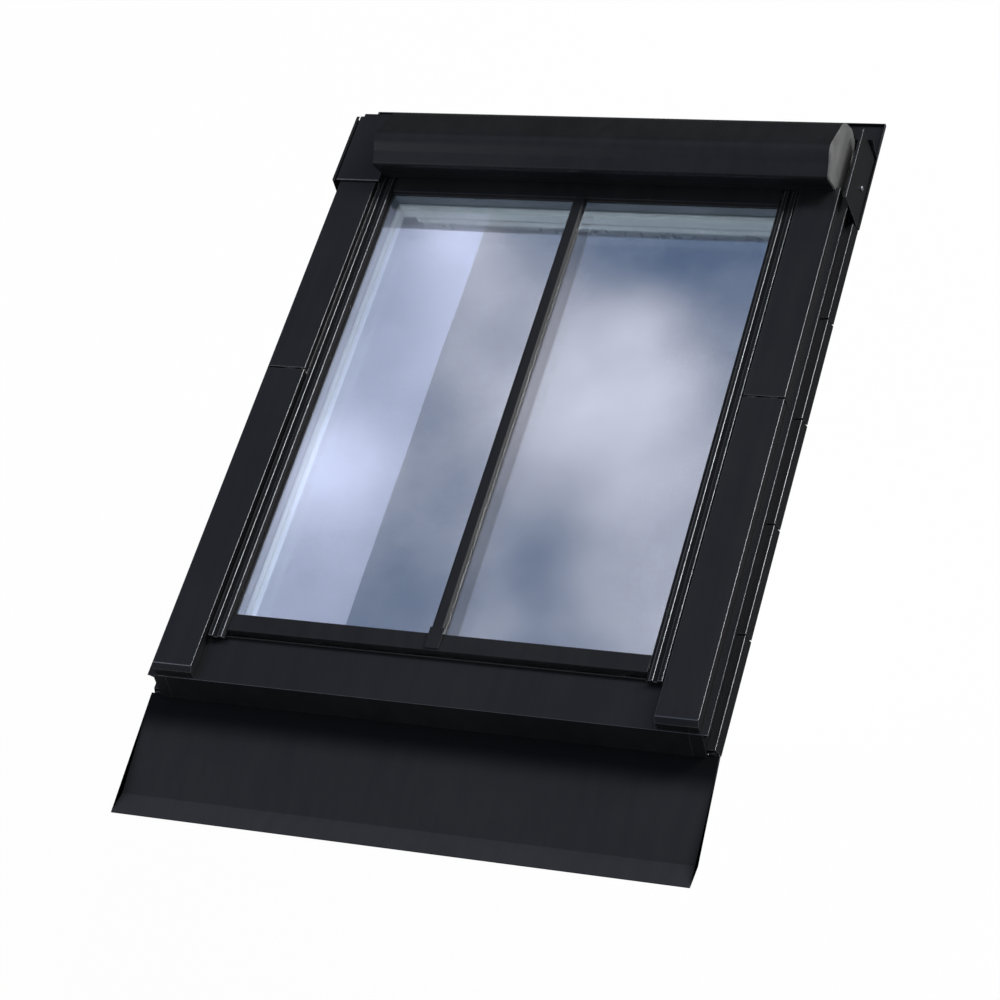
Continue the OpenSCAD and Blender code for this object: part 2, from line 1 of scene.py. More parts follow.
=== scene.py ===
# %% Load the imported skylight
import json
import math

import bmesh
import bpy
from mathutils import Matrix, Vector

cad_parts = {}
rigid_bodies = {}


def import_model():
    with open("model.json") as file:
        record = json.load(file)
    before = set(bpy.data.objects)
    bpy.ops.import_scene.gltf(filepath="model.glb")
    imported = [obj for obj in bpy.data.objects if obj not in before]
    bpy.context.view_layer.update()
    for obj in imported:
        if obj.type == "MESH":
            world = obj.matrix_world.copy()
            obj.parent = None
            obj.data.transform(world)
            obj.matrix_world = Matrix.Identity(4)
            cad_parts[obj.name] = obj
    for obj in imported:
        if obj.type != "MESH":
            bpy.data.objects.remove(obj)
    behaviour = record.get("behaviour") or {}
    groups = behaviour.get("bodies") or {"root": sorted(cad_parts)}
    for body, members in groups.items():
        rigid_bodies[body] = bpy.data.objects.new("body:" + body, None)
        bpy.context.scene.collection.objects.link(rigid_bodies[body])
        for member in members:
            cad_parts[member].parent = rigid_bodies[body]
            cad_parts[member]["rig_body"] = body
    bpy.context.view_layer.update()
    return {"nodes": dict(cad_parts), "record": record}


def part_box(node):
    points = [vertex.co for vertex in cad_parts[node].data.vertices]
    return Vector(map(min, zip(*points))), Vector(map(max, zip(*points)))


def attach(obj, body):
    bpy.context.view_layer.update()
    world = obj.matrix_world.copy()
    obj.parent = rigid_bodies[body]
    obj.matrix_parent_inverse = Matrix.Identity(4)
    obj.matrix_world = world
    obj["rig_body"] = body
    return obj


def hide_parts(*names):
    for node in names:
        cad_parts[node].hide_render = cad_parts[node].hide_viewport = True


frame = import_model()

nodes = frame["nodes"]
scene = bpy.context.scene

# %% [markdown]
# The camera comes first, because every finish is judged through it. The window lies flat in its own
# frame here, with +Y up the roof slope and +Z out of the roof, so a camera that stood level in front of
# a 45 degree roof looks down on it from the right. Its place and lens were worked out from the two
# vanishing points of the covers and the hood, and the three axes below are that camera's own.

# %% Camera
camera_place = Vector((1.3948, -2.1029, 2.9790))
camera_right = Vector((0.92809425, 0.26603377, -0.26051315))
camera_up = Vector((-0.0732706, 0.81646139, 0.57273224))
camera_back = Vector((0.36506505, -0.51246155, 0.77724557))

camera_data = bpy.data.cameras.new("photo_camera")
camera_data.sensor_width = 36
camera_data.lens = 98.47
camera = bpy.data.objects.new("photo_camera", camera_data)
turn = Matrix((camera_right, camera_up, camera_back)).transposed().to_4x4()
camera.matrix_world = Matrix.Translation(camera_place) @ turn
scene.collection.objects.link(camera)
scene.camera = camera
print("camera at", tuple(camera_place), "lens", camera_data.lens, "mm")

# %% [markdown]
# Materials are built from nodes. A few small helpers keep that readable: they add a node and set its
# plain values, do a sum, ease between two values, mix two colours or two shaders, and start a node group
# with named sockets. An effect that several finishes share is a group, so that each finish only states
# its own numbers.

# %% Node helpers
MIX_SOCKETS = {"FLOAT": (2, 3, 0), "RGBA": (6, 7, 2)}  # a Mix node's A, B and Result by kind of data


def add_node(tree, kind, **values):
    """Adds a node. Values that are sockets of the node are set on them, the rest are its properties."""
    node = tree.nodes.new(kind)
    for key, value in values.items():
        label = key if key in node.inputs else key.replace("_", " ").title()
        if label in node.inputs:
            node.inputs[label].default_value = value
        else:
            setattr(node, key, value)
    return node


def maths(tree, operation, first, second=None, third=None, clamp=False):
    """One Math node. A number is set on its socket, an output is linked to it."""
    node = add_node(tree, "ShaderNodeMath", operation=operation, use_clamp=clamp)
    for slot, value in enumerate((first, second, third)):
        if isinstance(value, (int, float)):
            node.inputs[slot].default_value = value
        elif value is not None:
            tree.links.new(value, node.inputs[slot])
    return node.outputs[0]


def smooth_between(tree, value, low, high):
    """Maps a value to 0 at low and 1 at high, with soft ends."""
    node = add_node(tree, "ShaderNodeMapRange", interpolation_type="SMOOTHSTEP",
                    from_min=low, from_max=high)
    tree.links.new(value, node.inputs["Value"])
    return node.outputs["Result"]


def blend(tree, data_type, factor, first, second, blend_type="MIX"):
    """Mixes two values or two colours by a linked factor. Each of the two is plain or linked."""
    node = add_node(tree, "ShaderNodeMix", data_type=data_type, blend_type=blend_type)
    tree.links.new(factor, node.inputs[0])
    first_slot, second_slot, result_slot = MIX_SOCKETS[data_type]
    for slot, value in ((first_slot, first), (second_slot, second)):
        if isinstance(value, bpy.types.NodeSocket):
            tree.links.new(value, node.inputs[slot])
        else:
            node.inputs[slot].default_value = value + (1.0,) if isinstance(value, tuple) else value
    return node.outputs[result_slot]


def switch_shader(tree, factor, first, second):
    """Shows the first shader where the factor is 0 and the second where it is 1."""
    node = add_node(tree, "ShaderNodeMixShader")
    for socket, output in zip(node.inputs, (factor, first, second)):
        tree.links.new(output, socket)
    return node.outputs[0]


def new_group(name, inputs, outputs):
    """Starts a shader node group. Inputs are (name, kind, value), outputs are (name, kind)."""
    tree = bpy.data.node_groups.new(name, "ShaderNodeTree")
    for label, kind, value in inputs:
        socket = tree.interface.new_socket(label, in_out="INPUT", socket_type="NodeSocket" + kind)
        socket.default_value = value
    for label, kind in outputs:
        tree.interface.new_socket(label, in_out="OUTPUT", socket_type="NodeSocket" + kind)
    return tree, tree.nodes.new("NodeGroupInput").outputs, tree.nodes.new("NodeGroupOutput").inputs


# %% [markdown]
# Folded sheet and extruded bars never have knife edges: a fold has a radius of a millimetre or two, it
# catches a thin line of light, and the coat is thinner there, so that some bare metal shines through.
# The rounding itself is real geometry, made further down, which also writes a value named "fold" on the
# rounded faces. This group reads that value and breaks it up with noise, so that the wear isn't even.

# %% Group: worn fold
def make_worn_fold():
    tree, given, made = new_group(
        "Worn fold",
        [("Breakup", "Float", 0.5)],
        [("Edge", "Float")],
    )
    fold = add_node(tree, "ShaderNodeAttribute", attribute_name="fold")
    where = add_node(tree, "ShaderNodeTexCoord")
    noise = add_node(tree, "ShaderNodeTexNoise", Scale=46.0, Detail=4.0, Roughness=0.6)
    tree.links.new(where.outputs["Object"], noise.inputs["Vector"])
    gaps = maths(tree, "MULTIPLY", noise.outputs["Fac"], given["Breakup"])
    kept = maths(tree, "SUBTRACT", 1.0, gaps, clamp=True)
    tree.links.new(maths(tree, "MULTIPLY", fold.outputs["Fac"], kept, clamp=True), made["Edge"])
    return tree


worn_fold = make_worn_fold()
print("group:", worn_fold.name)

# %% [markdown]
# A window on a roof is rained on. Dust settles in soft patches and the rain draws it down the slope in
# faint streaks, so the coat is never one colour. The group mixes a broad noise with one that is
# stretched along Y, the slope, and puts out a single value around 0.5 for colour and roughness.

# %% Group: weathering
def make_weathering():
    tree, given, made = new_group(
        "Weathering",
        [("Patch Scale", "Float", 7.0), ("Streak Scale", "Float", 60.0), ("Streaks", "Float", 0.5)],
        [("Value", "Float")],
    )
    where = add_node(tree, "ShaderNodeTexCoord")
    patch = add_node(tree, "ShaderNodeTexNoise", Detail=5.0, Roughness=0.55)
    tree.links.new(where.outputs["Object"], patch.inputs["Vector"])
    tree.links.new(given["Patch Scale"], patch.inputs["Scale"])
    stretch = add_node(tree, "ShaderNodeMapping", Scale=(1.0, 0.05, 1.0))
    tree.links.new(where.outputs["Object"], stretch.inputs["Vector"])
    streak = add_node(tree, "ShaderNodeTexNoise", Detail=3.0, Roughness=0.6)
    tree.links.new(stretch.outputs["Vector"], streak.inputs["Vector"])
    tree.links.new(given["Streak Scale"], streak.inputs["Scale"])
    mixed = blend(tree, "FLOAT", given["Streaks"], patch.outputs["Fac"], streak.outputs["Fac"])
    tree.links.new(mixed, made["Value"])
    return tree


weathering = make_weathering()
print("group:", weathering.name)

# %% [markdown]
# Powder coat, brushed paint and cast grey all have a fine skin that is felt more than seen. One group
# makes it: a small noise whose grains may be drawn out along one axis, as brush strokes and extrusion
# lines are. Its height feeds a Bump node in each material.

# %% Group: fine skin
def make_fine_skin():
    tree, given, made = new_group(
        "Fine skin",
        [("Scale", "Float", 900.0), ("Stretch", "Vector", (1.0, 1.0, 1.0))],
        [("Height", "Float")],
    )
    where = add_node(tree, "ShaderNodeTexCoord")
    drawn = add_node(tree, "ShaderNodeVectorMath", operation="MULTIPLY")
    tree.links.new(where.outputs["Object"], drawn.inputs[0])
    tree.links.new(given["Stretch"], drawn.inputs[1])
    skin = add_node(tree, "ShaderNodeTexNoise", Detail=2.0, Roughness=0.5)
    tree.links.new(drawn.outputs["Vector"], skin.inputs["Vector"])
    tree.links.new(given["Scale"], skin.inputs["Scale"])
    tree.links.new(skin.outputs["Fac"], made["Height"])
    return tree


fine_skin = make_fine_skin()
print("group:", fine_skin.name)

# %% [markdown]
# Some zones run across the whole window at one height of the slope, and both here are painted light: a
# painted shadow darkens the strip under the sill where the sill's shadow falls, and the apron's turned-up
# edge is painted paler for the light that falls on its steeper slope. The group puts out a mask that goes
# from 0 to 1 between two places along the slope.

# %% Group: slope band
def make_slope_band():
    tree, given, made = new_group(
        "Slope band",
        [("Start", "Float", 0.0), ("End", "Float", 1.0)],
        [("Mask", "Float")],
    )
    where = add_node(tree, "ShaderNodeTexCoord")
    place = add_node(tree, "ShaderNodeSeparateXYZ")
    tree.links.new(where.outputs["Object"], place.inputs[0])
    ease = add_node(tree, "ShaderNodeMapRange", interpolation_type="SMOOTHSTEP")
    tree.links.new(place.outputs["Y"], ease.inputs["Value"])
    tree.links.new(given["Start"], ease.inputs["From Min"])
    tree.links.new(given["End"], ease.inputs["From Max"])
    tree.links.new(ease.outputs["Result"], made["Mask"])
    return tree


shade_and_light_band = make_slope_band()
print("group:", shade_and_light_band.name)

# %% [markdown]
# Most finishes on this window are one recipe with other numbers: a colour that drifts with the
# weathering, another colour on the folds, a roughness that drifts too, and a fine skin in the bump. The
# function below writes that recipe into a material and leaves the Principled shader in the material
# itself, where its constant values are set on its own sockets.

# %% Finish recipe
DRIFT_LOW, DRIFT_HIGH = 0.32, 0.68  # weathering values where the colour is wholly dark and wholly light
RUBBED_ROUGHNESS = 0.2  # of a fold that hands and cloths have polished
COAT_ROUGHNESS = 0.25
SKIN_DEPTH = 0.0003  # of the fine skin, in metres


def place_group(tree, group, **values):
    """Places a node group in a material and sets its inputs."""
    node = tree.nodes.new("ShaderNodeGroup")
    node.node_tree = group
    for key, value in values.items():
        node.inputs[key.replace("_", " ").title()].default_value = value
    return node


def make_finish(name, dark, light, edge, rough, metallic=0.0, specular=0.5, skin_scale=900.0,
                stretch=(1, 1, 1), bump=0.12, streaks=0.5, patch=7.0, coat=0.0, bare_edge=False, painted_bands=()):
    """A weathered, edge-worn finish. Colours are linear, rough is its lowest and highest value. Painted
    light
    bands are (start, end, share): between these places along the slope the colour goes over to that share
    of it, a painted shade below 1 and a painted light above."""
    material = bpy.data.materials.new(name)
    material.use_nodes = True
    tree = material.node_tree
    shader = tree.nodes["Principled BSDF"]
    shader.inputs["Metallic"].default_value = metallic
    shader.inputs["Specular IOR Level"].default_value = specular
    shader.inputs["Coat Weight"].default_value = coat
    shader.inputs["Coat Roughness"].default_value = COAT_ROUGHNESS
    age = place_group(tree, weathering, patch_scale=patch, streaks=streaks).outputs["Value"]
    worn = place_group(tree, worn_fold).outputs["Edge"]
    drift = smooth_between(tree, age, DRIFT_LOW, DRIFT_HIGH)
    body = blend(tree, "RGBA", drift, dark, light)
    # painted light and shade: each band darkens or lightens the colour between two places on the slope
    for start, end, share in painted_bands:
        mask = place_group(tree, shade_and_light_band, start=start, end=end).outputs["Mask"]
        body = blend(tree, "RGBA", mask, body, (share, share, share), "MULTIPLY")
    tree.links.new(blend(tree, "RGBA", worn, body, edge), shader.inputs["Base Color"])
    span = add_node(tree, "ShaderNodeMapRange", to_min=rough[0], to_max=rough[1])
    tree.links.new(drift, span.inputs["Value"])
    roughness = span.outputs["Result"]
    if bare_edge:
        tree.links.new(worn, shader.inputs["Metallic"])
        roughness = blend(tree, "FLOAT", worn, roughness, RUBBED_ROUGHNESS)
    tree.links.new(roughness, shader.inputs["Roughness"])
    skin = place_group(tree, fine_skin, scale=skin_scale, stretch=stretch)
    relief = add_node(tree, "ShaderNodeBump", Strength=bump, Distance=SKIN_DEPTH)
    tree.links.new(skin.outputs["Height"], relief.inputs["Height"])
    tree.links.new(relief.outputs["Normal"], shader.inputs["Normal"])
    return material


# %% [markdown]
# The outside is folded aluminium with a charcoal powder coat, very slightly blue. The apron is duller and
# paler than the covers; a painted shadow darkens the strip under the sill, and its turned-up edge is
# painted paler, a painted light. The side beads are extruded, so their skin runs along the slope: they are
# dull, with bright ridges. The bar and the cross beads keep their coat on the edges. The hood's right end
# is closed by a plain grey cap.

# %% Metal outside
RUBBED_METAL = (0.15, 0.155, 0.16)  # colour of a fold where the coat is thin
ALONG_SLOPE = (1, 0.03, 1)  # stretch of a skin that was drawn through a die

coated_sheet = make_finish(
    "coated_sheet", (0.0075, 0.0080, 0.0093), (0.0108, 0.0113, 0.0126), RUBBED_METAL, (0.32, 0.42),
    specular=0.27, bare_edge=True)

sill_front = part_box("sill_cover")[0][1]
apron_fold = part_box("apron")[0][1] + 0.0355  # the turned-up edge starts here
# painted shadow: the strip under the sill is darkened to 0.14 of its colour, where the sill's shadow falls
sill_painted_shadow = (sill_front - 0.058, sill_front - 0.018, 0.14)
# painted light: the apron's turned-up edge is painted 1.4 times paler, for the light on its steeper slope
lip_painted_light = (apron_fold, apron_fold - 0.001, 1.4)
apron_sheet = make_finish(
    "apron_sheet", (0.0160, 0.0172, 0.0205), (0.0188, 0.0200, 0.0234), RUBBED_METAL, (0.4, 0.5),
    specular=0.08, bare_edge=True, painted_bands=(sill_painted_shadow, lip_painted_light))

bead_profile = make_finish(
    "bead_profile", (0.0085, 0.009, 0.0105), (0.0125, 0.013, 0.015), (0.17, 0.175, 0.18), (0.4, 0.5),
    specular=0.05, stretch=ALONG_SLOPE, bare_edge=True)
bar_profile = make_finish(
    "bar_profile", (0.0085, 0.009, 0.0108), (0.0125, 0.013, 0.0152), (0.014, 0.0145, 0.016), (0.4, 0.5),
    specular=0.22, stretch=ALONG_SLOPE)
end_cap_grey = make_finish(
    "end_cap_grey", (0.12, 0.12, 0.12), (0.155, 0.155, 0.155), (0.22, 0.22, 0.22), (0.42, 0.55),
    specular=0.4, streaks=0.2, patch=30.0)
metals = (coated_sheet, apron_sheet, bead_profile, bar_profile, end_cap_grey)
print("metal outside:", [finish.name for finish in metals])

# %% [markdown]
# Inside, the timber is painted white, with brush marks along the grain, and the vent flap has a smoother
# paint. The seal is black rubber and the spacer between the panes is grey. Hinges, brackets and screws
# are zinc plated, and the control bar is brushed and anodised, so it shines softly along its length.

# %% Timber, rubber and fittings
white_timber = make_finish(
    "white_timber", (0.74, 0.735, 0.71), (0.82, 0.815, 0.79), (0.62, 0.59, 0.53), (0.34, 0.5),
    stretch=(1, 0.06, 1), skin_scale=420.0, bump=0.25, coat=0.15)
white_flap = make_finish(
    "white_flap", (0.76, 0.755, 0.735), (0.82, 0.815, 0.795), (0.66, 0.64, 0.6), (0.3, 0.42),
    stretch=(0.05, 1, 1), skin_scale=420.0, bump=0.2, coat=0.2)
black_rubber = make_finish(
    "black_rubber", (0.012, 0.012, 0.012), (0.022, 0.022, 0.022), (0.035, 0.035, 0.035), (0.6, 0.75),
    specular=0.3, skin_scale=1400.0, bump=0.3)
grey_spacer = make_finish(
    "grey_spacer", (0.22, 0.225, 0.23), (0.30, 0.305, 0.31), (0.4, 0.4, 0.4), (0.45, 0.6), streaks=0.1)
zinc_plate = make_finish(
    "zinc_plate", (0.44, 0.45, 0.46), (0.60, 0.61, 0.62), (0.75, 0.75, 0.75), (0.28, 0.45),
    metallic=1.0, patch=60.0, streaks=0.15, skin_scale=500.0)
satin_bar = make_finish(
    "satin_bar", (0.55, 0.56, 0.57), (0.64, 0.65, 0.66), (0.8, 0.8, 0.8), (0.24, 0.34),
    metallic=1.0, stretch=(0.02, 1, 1), skin_scale=1200.0, bump=0.2)
fittings = (white_timber, white_flap, black_rubber, grey_spacer, zinc_plate, satin_bar)
print("inside:", [finish.name for finish in fittings])

# %% [markdown]
# The panes are clear float glass. Both carry a thin metal coat, one against the sun and one against the
# cold, which mirrors far more of the sky than bare glass does and lets less of the dim room through. The
# second mirror lies deeper, so the bar shows twice in it. A very slow waviness, as heat treated glass
# has, bends the mirrored clouds a little, and lamp light is let through so that the room isn't black.

# %% Glass
GLASS_IOR = 1.5
WAVE_DEPTH = 0.0006  # metres


def make_glass(name, tint, shadow, coat_ior, wave):
    """A coated pane. Tint colours what is seen through it, shadow the lamp light that it lets through."""
    material = bpy.data.materials.new(name)
    material.use_nodes = True
    tree = material.node_tree
    shader = tree.nodes["Principled BSDF"]
    shader.inputs["Base Color"].default_value = tint + (1.0,)
    shader.inputs["Roughness"].default_value = 0.0
    shader.inputs["IOR"].default_value = GLASS_IOR
    shader.inputs["Transmission Weight"].default_value = 1.0
    shader.inputs["Coat Weight"].default_value = 1.0
    shader.inputs["Coat Roughness"].default_value = 0.0
    shader.inputs["Coat IOR"].default_value = coat_ior
    where = add_node(tree, "ShaderNodeTexCoord")
    slow = add_node(tree, "ShaderNodeTexNoise", Scale=5.0, Detail=1.0)
    tree.links.new(where.outputs["Object"], slow.inputs["Vector"])
    bend = add_node(tree, "ShaderNodeBump", Strength=wave, Distance=WAVE_DEPTH)
    tree.links.new(slow.outputs["Fac"], bend.inputs["Height"])
    tree.links.new(bend.outputs["Normal"], shader.inputs["Normal"])
    tree.links.new(bend.outputs["Normal"], shader.inputs["Coat Normal"])
    clear = add_node(tree, "ShaderNodeBsdfTransparent", Color=shadow + (1.0,))
    path = add_node(tree, "ShaderNodeLightPath")
    shown = switch_shader(tree, path.outputs["Is Shadow Ray"], shader.outputs[0], clear.outputs[0])
    tree.links.new(shown, tree.nodes["Material Output"].inputs["Surface"])
    return material


solar_glass = make_glass("solar_glass", (0.86, 0.9, 0.93), (0.42, 0.45, 0.50), coat_ior=2.3, wave=0.05)
room_glass = make_glass("room_glass", (0.82, 0.87, 0.90), (0.55, 0.58, 0.62), coat_ior=4.6, wave=0.03)
print("panes:", solar_glass.name, room_glass.name)

# %% [markdown]
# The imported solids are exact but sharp. A knife-sharp corner never glints, so each solid that is folded,
# planed or extruded gets a rounded twin: its flat triangles are joined into whole faces, the outward
# edges between two broad faces are bevelled, and the rest is left as it is. A bevel by hand would drift
# from the source, and one in the shader would be lost in the exported model. The twin stands for the
# solid, rides on the same body, and its rounded faces carry the value "fold" for the worn edge.

# %% Rounded twins
WELD = 1e-5  # corners nearer than this, in metres, are one
FLAT_ANGLE = math.radians(0.5)  # faces that meet at less than this are one
FOLD_ANGLE = math.radians(28)  # edges that turn by more than this are rounded
LEAST_REACH, LEAST_LENGTH = 1.7, 2.0  # of the faces and of the edge, in radii, so that the bevel has room
BEVEL_STEPS = 4


def make_piece(shape, name, sharp_degrees):
    """Turns a bmesh into a piece of the scene, smooth up to the given angle."""
    for face in shape.faces:
        face.smooth = True
    mesh = bpy.data.meshes.new(name)
    shape.to_mesh(mesh)
    shape.free()
    mesh.set_sharp_from_angle(angle=math.radians(sharp_degrees))
    piece = bpy.data.objects.new(name, mesh)
    scene.collection.objects.link(piece)
    return piece


def face_reach(face, edge):
    """How far a face reaches away from one of its edges."""
    start = edge.verts[0].co
    run = (edge.verts[1].co - start).normalized()
    return max((corner.co - start).cross(run).length for corner in face.verts)


def is_fold(edge, radius):
    """Whether an edge turns outward and has room for a bevel of this radius."""
    return (len(edge.link_faces) == 2 and edge.is_convex and edge.calc_face_angle(0.0) > FOLD_ANGLE
            and min(face_reach(face, edge) for face in edge.link_faces) > LEAST_REACH * radius
            and edge.calc_length() > LEAST_LENGTH * radius)


def round_twin(node, radius, widest=None):
    """A copy of a node, no wider than given, with its outward edges rounded, and the number of edges."""
    shape = bmesh.new()
    shape.from_mesh(nodes[node].data)
    if widest:
        for corner in shape.verts:
            corner.co.x = max(-widest / 2, min(widest / 2, corner.co.x))
    bmesh.ops.remove_doubles(shape, verts=shape.verts, dist=WELD)
    bmesh.ops.dissolve_limit(shape, angle_limit=FLAT_ANGLE, verts=shape.verts, edges=shape.edges)
    folds = [edge for edge in shape.edges if is_fold(edge, radius)]
    fold_value = shape.loops.layers.float.new("fold")
    made = bmesh.ops.bevel(shape, geom=folds, offset=radius, offset_type="OFFSET", segments=BEVEL_STEPS,
                           profile=0.5, affect="EDGES", clamp_overlap=True)
    for face in made["faces"]:
        for corner in face.loops:
            corner[fold_value] = 1.0
    piece = make_piece(shape, node + "_rounded", 32)
    even = piece.modifiers.new("flat_faces_stay_flat", "WEIGHTED_NORMAL")
    even.keep_sharp = True
    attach(piece, nodes[node]["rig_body"])
    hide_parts(node)
    return piece, len(folds)


# %% [markdown]
# Every solid now gets its finish. The table goes by material slot, with the radius that its edges are
# rounded to, and names apart the nodes that differ from their slot. Panes and the spacer keep their sharp
# solids, because their edges are hidden, and the screws are made in the cells after this one.

# %% Give every solid its finish
finish_of_slot = {  # finish and edge radius in metres
    "cladding": (coated_sheet, 0.0020), "beads": (bead_profile, 0.0008), "cap": (end_cap_grey, 0.0008),
    "timber": (white_timber, 0.0020), "flap": (white_flap, 0.0025), "seal": (black_rubber, 0.0006),
    "glass": (solar_glass, 0.0), "spacer": (grey_spacer, 0.0), "zinc": (zinc_plate, 0.0005),
    "bar": (satin_bar, 0.0010),
}
finish_of_node = {"inner_pane": room_glass, "glazing_bar": bar_profile, "apron": apron_sheet,
                  "top_bead": bar_profile, "bottom_bead": bar_profile}
widest_of_node = {"glazing_bar": 0.021}  # the bar's own width, without the tape that it stands on
sharp_nodes = {"flashing_screws", "bracket_screws"}
for subpart in frame["record"]["subparts"]:
    node, slot = subpart["node"], subpart["material_slot"]
    finish, radius = finish_of_slot[slot]
    finish = finish_of_node.get(node, finish)
    piece, edges = nodes[node], 0
    if radius and node not in sharp_nodes:
        piece, edges = round_twin(node, radius, widest_of_node.get(node))
    piece.data.materials.clear()
    piece.data.materials.append(finish)
    print(f"{node}: {finish.name}, {edges} edges rounded, {len(piece.data.polygons)} faces")

# %% [markdown]
# The screws are small, and a bare cylinder gives them away at once. A pan head is a low dome with a
# rounded rim and a cross cut into it. The dome is turned from a profile, and the cross is cut by a
# Boolean, because its tapered walls meet the dome in curves that are hard to draw by hand.

# %% One pan-head screw
TURNED_STEPS = 28
DOME_DEGREES = (90, 75, 60, 45, 30, 15)  # from the rim to the crown
RIM_TOP, RIM_FOOT, RIM_UNDERCUT = 0.45, 0.12, 0.94  # two shares of the head's height, one of its radius
CROSS_LONG, CROSS_SLIM = 0.62, 0.17  # half length and half width, as shares of the head's radius
CROSS_FLOOR, CROSS_TOP, CROSS_TAPER = 0.45, 1.3, 0.75  # two shares of the head's height, one of the width


def turned(profile):
    """A closed shape turned round Z from (radius, height) points that start and end on the axis."""
    shape = bmesh.new()
    angles = [2 * math.pi * k / TURNED_STEPS for k in range(TURNED_STEPS)]
    rows = [[shape.verts.new((r * math.cos(a), r * math.sin(a), z)) for a in angles]
            for r, z in profile[1:-1]]
    for low, high in zip(rows, rows[1:]):
        for k in range(TURNED_STEPS):
            n = (k + 1) % TURNED_STEPS
            shape.faces.new((low[k], low[n], high[n], high[k]))
    for row, (_, z), flip in ((rows[0], profile[0], True), (rows[-1], profile[-1], False)):
        tip = shape.verts.new((0.0, 0.0, z))
        for k in range(TURNED_STEPS):
            corners = (row[k], row[(k + 1) % TURNED_STEPS], tip)
            shape.faces.new(corners[::-1] if flip else corners)
    return shape


def make_cross(radius, height):
    """The tool that cuts the cross: two bars that narrow towards their floor."""
    shape = bmesh.new()
    for wide, deep in ((CROSS_LONG, CROSS_SLIM), (CROSS_SLIM, CROSS_LONG)):
        for corner in bmesh.ops.create_cube(shape, size=2.0)["verts"]:
            share, level = (CROSS_TAPER, CROSS_FLOOR) if corner.co.z < 0 else (1.0, CROSS_TOP)
            corner.co = Vector((corner.co.x * wide * radius * share, corner.co.y * deep * radius * share,
                                height * level))
    return shape


def make_pan_screw(radius, height, shank, length):
    """The mesh of a pan-head screw along Z, its head's underside at 0."""
    foot = [(0.0, -length), (shank, -length), (shank, 0.0), (radius * RIM_UNDERCUT, 0.0),
            (radius, height * RIM_FOOT)]
    dome = [(radius * math.sin(t), height * (RIM_TOP + (1 - RIM_TOP) * math.cos(t)))
            for t in map(math.radians, DOME_DEGREES)]
    things = []
    for name, shape in (("pan_screw", turned(foot + dome + [(0.0, height)])),
                        ("cross_cut", make_cross(radius, height))):
        mesh = bpy.data.meshes.new(name)
        shape.to_mesh(mesh)
        shape.free()
        things.append(bpy.data.objects.new(name, mesh))
        scene.collection.objects.link(things[-1])
    screw, cutter = things
    cut = screw.modifiers.new("cross", "BOOLEAN")
    cut.object = cutter
    cut.operation = "DIFFERENCE"
    cut.solver = "EXACT"
    cut.use_self = True
    state = bpy.context.evaluated_depsgraph_get()
    finished = bpy.data.meshes.new_from_object(screw.evaluated_get(state))
    for thing in things:
        bpy.data.objects.remove(thing)
    return finished


# %% [markdown]
# A screw node holds several screws in one mesh, so its separate solids are found first, by walking from
# corner to corner along the edges. Each solid's box then gives the place, the size and the side that the
# finished screw faces.

# %% Screws in their places
HEAD_RISE, SHANK_SHARE = 0.62, 0.5  # of a pan head's radius
FIRST_TURN = 0.4  # of the cross, in radians; it differs from screw to screw


def islands(mesh):
    """The lowest and highest corner of each separate solid in a mesh."""
    shape = bmesh.new()
    shape.from_mesh(mesh)
    bmesh.ops.remove_doubles(shape, verts=shape.verts, dist=WELD)
    left, boxes = set(shape.verts), []
    for start in shape.verts:
        if start not in left:
            continue
        left.remove(start)
        found, reached = [], [start]
        while reached:
            corner = reached.pop()
            found.append(corner.co)
            near = {link.other_vert(corner) for link in corner.link_edges} & left
            left -= near
            reached.extend(near)
        boxes.append(tuple(Vector(pick(co[k] for co in found) for k in range(3)) for pick in (min, max)))
    shape.free()
    return boxes


def set_screws(node, axis):
    """One piece that holds a finished screw at each place of a screw node. axis is 0 for X, 1 for Y."""
    shape = bmesh.new()
    for low, high in islands(nodes[node].data):
        middle = (low + high) / 2
        side = 1.0 if middle[axis] > 0 else -1.0
        radius = (high[2] - low[2]) / 2
        height = radius * HEAD_RISE
        screw = make_pan_screw(radius, height, radius * SHANK_SHARE, (high - low)[axis] - height)
        out = Vector((0.0, 0.0, 0.0))
        out[axis] = side
        seat = middle.copy()
        seat[axis] = (high if side > 0 else low)[axis] - side * height
        facing = out.to_track_quat("Z", "X").to_matrix().to_4x4()
        spin = Matrix.Rotation(FIRST_TURN + middle.y, 4, "Z")
        screw.transform(Matrix.Translation(seat) @ facing @ spin)
        shape.from_mesh(screw)
    piece = make_piece(shape, node + "_turned", 35)
    piece.data.materials.clear()
    piece.data.materials.append(zinc_plate)
    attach(piece, nodes[node]["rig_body"])
    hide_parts(node)
    return piece


for node, axis in (("flashing_screws", 0), ("bracket_screws", 1)):
    print(node, "faces:", len(set_screws(node, axis).data.polygons))

# %% [markdown]
# The beads don't touch the pane with bare metal: a soft black gasket shows as a thin line all round, and
# it is what the eye reads as the edge of the glass. It is one half-round profile led round the four
# inner edges of the beads, with mitred corners.

# %% Gasket round the pane
GASKET_MIDDLE = 0.0007  # of the profile, inside the bead's edge
GASKET_HALF, GASKET_RISE = 0.0015, 0.0014
GASKET_STEPS = 6
GASKET_CLEAR = 0.0002  # over the pane


